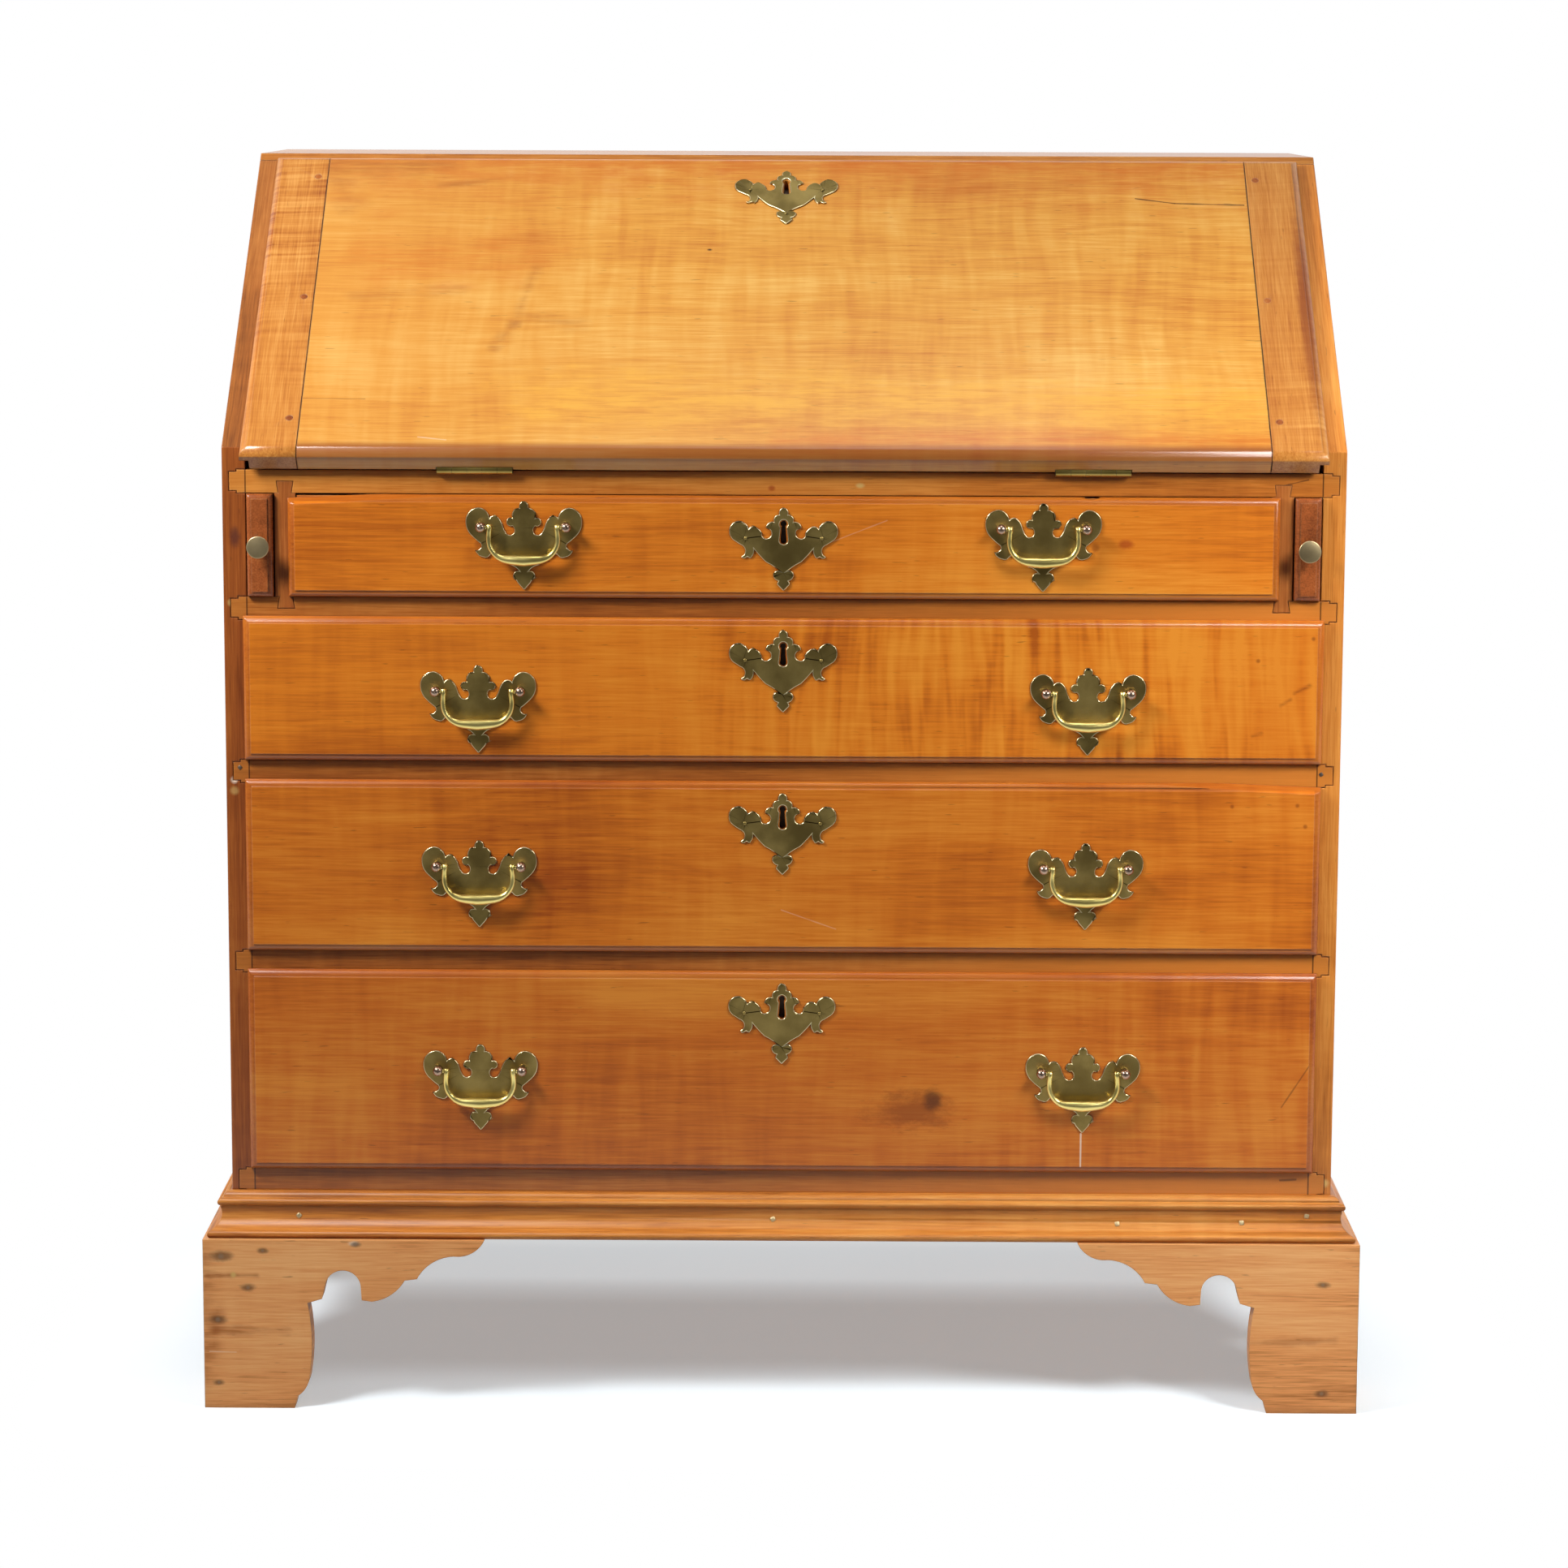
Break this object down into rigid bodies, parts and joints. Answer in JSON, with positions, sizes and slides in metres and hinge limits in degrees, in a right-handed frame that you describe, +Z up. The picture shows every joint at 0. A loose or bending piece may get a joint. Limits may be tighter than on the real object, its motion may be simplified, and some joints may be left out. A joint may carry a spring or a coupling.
{
  "type": "slant-front desk",
  "caption": "Figured maple desk with a hinged sloping writing lid on pull-out lopers, graduated lipped drawers with brass bails, and scrolled bracket feet.",
  "frame": {"origin": "on the floor, at the middle of the bounding box's base", "axes": "+Z up; the drawers face -Y and the backboards +Y; +X to the right of a person facing the drawers"},
  "size_m": [0.9594, 0.4824, 1.0329],
  "materials": {
    "maple": "glossy amber varnish over figured maple",
    "secondary_wood": "bare, planed and oxidised pine",
    "brass": "aged and lightly tarnished",
    "iron": "old wrought iron, browned"
  },
  "bodies": {
    "case": {"backboards": "secondary_wood", "base_moulding": "maple", "bottom_board": "maple", "drawer_blades": "maple", "drawer_runners": "secondary_wood", "foot_glue_blocks": "secondary_wood", "front_left_foot": "maple", "front_right_foot": "maple", "gallery_partitions": "maple", "gallery_shelf": "maple", "gallery_valances": "maple", "hinge_case_leaves": "brass", "hinge_pins": "iron", "left_side": "maple", "lid_rail": "maple", "loper_partitions": "maple", "rear_left_foot": "maple", "rear_right_foot": "maple", "right_side": "maple", "top_board": "maple", "writing_bed": "maple"},
    "lid": {"lid_panel": "maple", "lid_left_batten": "maple", "lid_right_batten": "maple", "lid_pegs": "maple", "hinge_lid_leaves": "brass", "lid_escutcheon": "brass", "lid_lock": "iron"},
    "left_loper": {"left_loper": "maple", "left_loper_knob": "brass"},
    "right_loper": {"right_loper": "maple", "right_loper_knob": "brass"},
    "top_drawer": {"top_drawer_front": "maple", "top_drawer_box": "secondary_wood", "top_drawer_brasses": "brass", "top_drawer_lock": "iron"},
    "top_drawer_left_bail": {"top_drawer_left_bail": "brass"},
    "top_drawer_right_bail": {"top_drawer_right_bail": "brass"},
    "second_drawer": {"second_drawer_front": "maple", "second_drawer_box": "secondary_wood", "second_drawer_brasses": "brass", "second_drawer_lock": "iron"},
    "second_drawer_left_bail": {"second_drawer_left_bail": "brass"},
    "second_drawer_right_bail": {"second_drawer_right_bail": "brass"},
    "third_drawer": {"third_drawer_front": "maple", "third_drawer_box": "secondary_wood", "third_drawer_brasses": "brass", "third_drawer_lock": "iron"},
    "third_drawer_left_bail": {"third_drawer_left_bail": "brass"},
    "third_drawer_right_bail": {"third_drawer_right_bail": "brass"},
    "bottom_drawer": {"bottom_drawer_front": "maple", "bottom_drawer_box": "secondary_wood", "bottom_drawer_brasses": "brass", "bottom_drawer_lock": "iron"},
    "bottom_drawer_left_bail": {"bottom_drawer_left_bail": "brass"},
    "bottom_drawer_right_bail": {"bottom_drawer_right_bail": "brass"},
    "gallery_drawer_1": {"gallery_drawer_1": "maple"},
    "gallery_drawer_2": {"gallery_drawer_2": "maple"},
    "gallery_drawer_3": {"gallery_drawer_3": "maple"},
    "gallery_drawer_4": {"gallery_drawer_4": "maple"}
  },
  "joints": [
    {"name": "lid_fall", "type": "hinge", "parent": "case", "child": "lid", "pos_m": [0, -0.22275, 0.7845], "axis": [1, 0, 0], "range_deg": [0, 140]},
    {"name": "left_loper_pull", "type": "slide", "parent": "case", "child": "left_loper", "axis": [0, -1, 0], "range_m": [0, 0.28]},
    {"name": "right_loper_pull", "type": "slide", "parent": "case", "child": "right_loper", "axis": [0, -1, 0], "range_m": [0, 0.28]},
    {"name": "top_drawer_pull", "type": "slide", "parent": "case", "child": "top_drawer", "axis": [0, -1, 0], "range_m": [0, 0.25]},
    {"name": "top_drawer_left_bail_swing", "type": "hinge", "parent": "top_drawer", "child": "top_drawer_left_bail", "pos_m": [-0.211, -0.23665, 0.7385], "axis": [-1, 0, 0], "range_deg": [0, 95]},
    {"name": "top_drawer_right_bail_swing", "type": "hinge", "parent": "top_drawer", "child": "top_drawer_right_bail", "pos_m": [0.211, -0.23665, 0.7385], "axis": [-1, 0, 0], "range_deg": [0, 95]},
    {"name": "second_drawer_pull", "type": "slide", "parent": "case", "child": "second_drawer", "axis": [0, -1, 0], "range_m": [0, 0.3]},
    {"name": "second_drawer_left_bail_swing", "type": "hinge", "parent": "second_drawer", "child": "second_drawer_left_bail", "pos_m": [-0.249, -0.23665, 0.60385], "axis": [-1, 0, 0], "range_deg": [0, 95]},
    {"name": "second_drawer_right_bail_swing", "type": "hinge", "parent": "second_drawer", "child": "second_drawer_right_bail", "pos_m": [0.249, -0.23665, 0.60385], "axis": [-1, 0, 0], "range_deg": [0, 95]},
    {"name": "third_drawer_pull", "type": "slide", "parent": "case", "child": "third_drawer", "axis": [0, -1, 0], "range_m": [0, 0.3]},
    {"name": "third_drawer_left_bail_swing", "type": "hinge", "parent": "third_drawer", "child": "third_drawer_left_bail", "pos_m": [-0.249, -0.23665, 0.45855], "axis": [-1, 0, 0], "range_deg": [0, 95]},
    {"name": "third_drawer_right_bail_swing", "type": "hinge", "parent": "third_drawer", "child": "third_drawer_right_bail", "pos_m": [0.249, -0.23665, 0.45855], "axis": [-1, 0, 0], "range_deg": [0, 95]},
    {"name": "bottom_drawer_pull", "type": "slide", "parent": "case", "child": "bottom_drawer", "axis": [0, -1, 0], "range_m": [0, 0.3]},
    {"name": "bottom_drawer_left_bail_swing", "type": "hinge", "parent": "bottom_drawer", "child": "bottom_drawer_left_bail", "pos_m": [-0.249, -0.23665, 0.28725], "axis": [-1, 0, 0], "range_deg": [0, 95]},
    {"name": "bottom_drawer_right_bail_swing", "type": "hinge", "parent": "bottom_drawer", "child": "bottom_drawer_right_bail", "pos_m": [0.249, -0.23665, 0.28725], "axis": [-1, 0, 0], "range_deg": [0, 95]},
    {"name": "gallery_drawer_1_pull", "type": "slide", "parent": "case", "child": "gallery_drawer_1", "axis": [0, -1, 0], "range_m": [0, 0.11]},
    {"name": "gallery_drawer_2_pull", "type": "slide", "parent": "case", "child": "gallery_drawer_2", "axis": [0, -1, 0], "range_m": [0, 0.11]},
    {"name": "gallery_drawer_3_pull", "type": "slide", "parent": "case", "child": "gallery_drawer_3", "axis": [0, -1, 0], "range_m": [0, 0.11]},
    {"name": "gallery_drawer_4_pull", "type": "slide", "parent": "case", "child": "gallery_drawer_4", "axis": [0, -1, 0], "range_m": [0, 0.11]}
  ]
}
